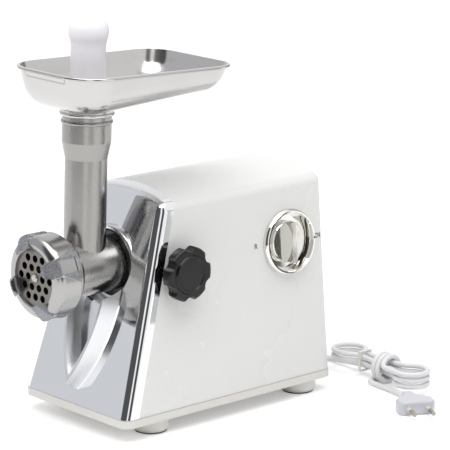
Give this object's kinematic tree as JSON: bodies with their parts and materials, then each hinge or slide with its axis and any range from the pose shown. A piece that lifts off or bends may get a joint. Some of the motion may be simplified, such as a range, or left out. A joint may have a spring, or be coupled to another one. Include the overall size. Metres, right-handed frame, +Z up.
{
  "type": "electric meat grinder",
  "caption": "Upright electric meat grinder with a leaning chrome front, clamped grinding head, feed tray and pusher, rotary switch, geared motor inside and a tied mains lead.",
  "frame": {"origin": "on the floor, under the middle of the machine's bounding box without its lead", "axes": "-Y is the way the cutting plate faces, +X the side with the clamp knob and the switch, +Z up"},
  "size_m": [0.2867, 0.3907, 0.3833],
  "materials": {
    "white_shell": "satin moulded",
    "white_base": "satin moulded",
    "black_knob": "moulded, fine grain",
    "dial_chrome": "chrome plated plastic",
    "chrome_front": "mirror plated",
    "socket_black": "gloss moulded",
    "polished_casting": "polished casting",
    "sheet_metal": "polished sheet",
    "tool_steel": "ground",
    "pusher_plastic": "translucent moulded",
    "foot_rubber": "matte",
    "black_plastic": "moulded",
    "gear_nylon": "moulded",
    "steel": "turned",
    "bronze": "sintered",
    "copper": "enamelled wire",
    "core_iron": "stacked sheet",
    "carbon": "pressed carbon",
    "cord_white": "smooth flexible",
    "plug_white": "satin moulded",
    "tie_white": "moulded",
    "pin_brass": "plated"
  },
  "bodies": {
    "housing": {"base_plate": "white_base", "foot_pads": "foot_rubber", "main_housing": "white_shell", "front_panel": "chrome_front", "head_socket": "socket_black", "switch_bezel": "dial_chrome", "switch_module": "black_plastic", "drive_bushes": "bronze", "gear_case_front": "black_plastic", "gear_case_rear": "black_plastic", "stator_core": "core_iron", "field_coils": "copper", "motor_bearings": "bronze", "motor_bracket": "steel", "brush_holders": "black_plastic", "carbon_brushes": "carbon", "base_screws": "steel", "gear_case_screws": "steel", "motor_screws": "steel", "strain_relief": "cord_white", "cord_lead": "cord_white", "cord_hank": "cord_white", "cord_tail": "cord_white", "cord_tie": "tie_white", "plug_body": "plug_white", "plug_pins": "pin_brass"},
    "head": {"head_casting": "polished_casting"},
    "screw": {"feed_screw": "tool_steel", "cross_knife": "tool_steel"},
    "plate": {"cutting_plate": "tool_steel"},
    "nut": {"ring_nut": "polished_casting"},
    "tray": {"tray": "sheet_metal"},
    "pusher": {"pusher": "pusher_plastic"},
    "lock_screw": {"lock_screw": "steel"},
    "lock_knob": {"lock_knob": "black_knob"},
    "dial": {"switch_dial": "dial_chrome"},
    "motor": {"armature_core": "core_iron", "armature_windings": "copper", "motor_shaft": "steel", "commutator": "copper", "cooling_fan": "black_plastic", "motor_pinion": "steel"},
    "idler": {"idler_gear": "gear_nylon", "idler_shaft": "steel"},
    "drive": {"drive_shaft": "steel", "output_gear": "gear_nylon"}
  },
  "joints": [
    {"name": "head_slide", "type": "slide", "parent": "housing", "child": "head", "axis": [0, -1, 0], "range_m": [0, 0.06]},
    {"name": "tray_lift", "type": "slide", "parent": "head", "child": "tray", "axis": [0, 0.0349, 0.9994], "range_m": [0, 0.06]},
    {"name": "pusher_slide", "type": "slide", "parent": "tray", "child": "pusher", "axis": [0, 0.0349, 0.9994], "range_m": [0, 0.2]},
    {"name": "plate_slide", "type": "slide", "parent": "head", "child": "plate", "axis": [0, -1, 0], "range_m": [0, 0.0075]},
    {"name": "nut_turn", "type": "hinge", "parent": "plate", "child": "nut", "pos_m": [-0.00541, -0.14, 0.15], "axis": [0, -1, 0], "range_deg": [0, 1080]},
    {"name": "lock_slide", "type": "slide", "parent": "housing", "child": "lock_screw", "axis": [1, 0, 0], "range_m": [0, 0.006]},
    {"name": "lock_turn", "type": "hinge", "parent": "lock_screw", "child": "lock_knob", "pos_m": [0.07, -0.03315, 0.15], "axis": [1, 0, 0], "range_deg": [0, 1440]},
    {"name": "dial_turn", "type": "hinge", "parent": "housing", "child": "dial", "pos_m": [0.05775, 0.10735, 0.154], "axis": [0.996, 0, 0.0893], "range_deg": [-90, 90]},
    {"name": "motor_spin", "type": "hinge", "parent": "housing", "child": "motor", "pos_m": [-0.00541, 0, 0.0663], "axis": [0, 1, 0], "continuous": true},
    {"name": "idler_spin", "type": "hinge", "parent": "housing", "child": "idler", "pos_m": [-0.00541, 0, 0.10275], "axis": [0, 1, 0], "continuous": true},
    {"name": "drive_spin", "type": "hinge", "parent": "housing", "child": "drive", "pos_m": [-0.00541, 0, 0.15], "axis": [0, 1, 0], "continuous": true},
    {"name": "screw_spin", "type": "hinge", "parent": "head", "child": "screw", "pos_m": [-0.00541, 0, 0.15], "axis": [0, 1, 0], "continuous": true}
  ],
  "couplings": [
    {"joint": "idler_spin", "follows": "motor_spin", "ratio": -0.125},
    {"joint": "drive_spin", "follows": "motor_spin", "ratio": 0.020833},
    {"joint": "screw_spin", "follows": "motor_spin", "ratio": 0.020833},
    {"joint": "plate_slide", "follows": "nut_turn", "m_per_rad": 0.00039789},
    {"joint": "lock_slide", "follows": "lock_turn", "m_per_rad": 0.00023873}
  ]
}
